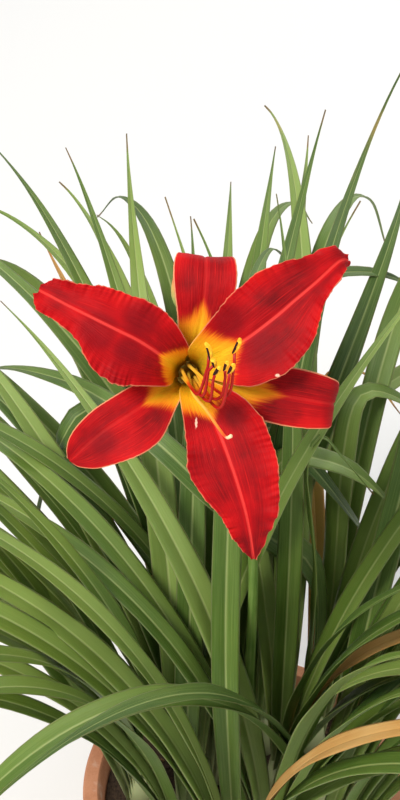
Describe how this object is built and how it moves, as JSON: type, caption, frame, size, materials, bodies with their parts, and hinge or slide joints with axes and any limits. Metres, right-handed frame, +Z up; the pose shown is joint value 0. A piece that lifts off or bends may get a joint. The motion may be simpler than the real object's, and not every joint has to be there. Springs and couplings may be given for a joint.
{
  "type": "daylily plant in a pot",
  "caption": "Clump of arching strap leaves in a plain clay pot, with one leafless flower stalk that carries an open trumpet bloom and closed buds.",
  "frame": {"origin": "centre of the pot's underside", "axes": "+Z up; the bloom faces -Y and upwards; +X to the bloom's right as seen from its front"},
  "size_m": [0.7755, 0.6501, 0.6439],
  "materials": {
    "clay": "unglazed, matt",
    "earth": "loose, matt",
    "stalk": "satin",
    "leaf": "satin, fine lengthwise veins",
    "petal": "velvety",
    "sepal": "velvety, pale margins",
    "stamen": "satin",
    "style": "satin",
    "bud": "satin"
  },
  "bodies": {
    "root": {"pot": "clay", "soil": "earth", "scape": "stalk", "flower_base": "stalk", "petal_upper_left": "petal", "petal_upper_right": "petal", "petal_lower": "petal", "sepal_top": "sepal", "sepal_lower_left": "sepal", "sepal_right": "sepal", "stamen_1": "stamen", "stamen_2": "stamen", "stamen_3": "stamen", "stamen_4": "stamen", "stamen_5": "stamen", "stamen_6": "stamen", "pistil": "style", "bud_large": "bud", "bud_medium": "bud", "bud_small": "bud", "leaf_fan_01": "leaf", "leaf_fan_02": "leaf", "leaf_fan_03": "leaf", "leaf_fan_04": "leaf", "leaf_fan_05": "leaf", "leaf_fan_06": "leaf", "leaf_fan_07": "leaf", "leaf_fan_08": "leaf", "leaf_fan_09": "leaf", "leaf_fan_10": "leaf", "leaf_fan_11": "leaf", "leaf_fan_12": "leaf"}
  },
  "joints": []
}
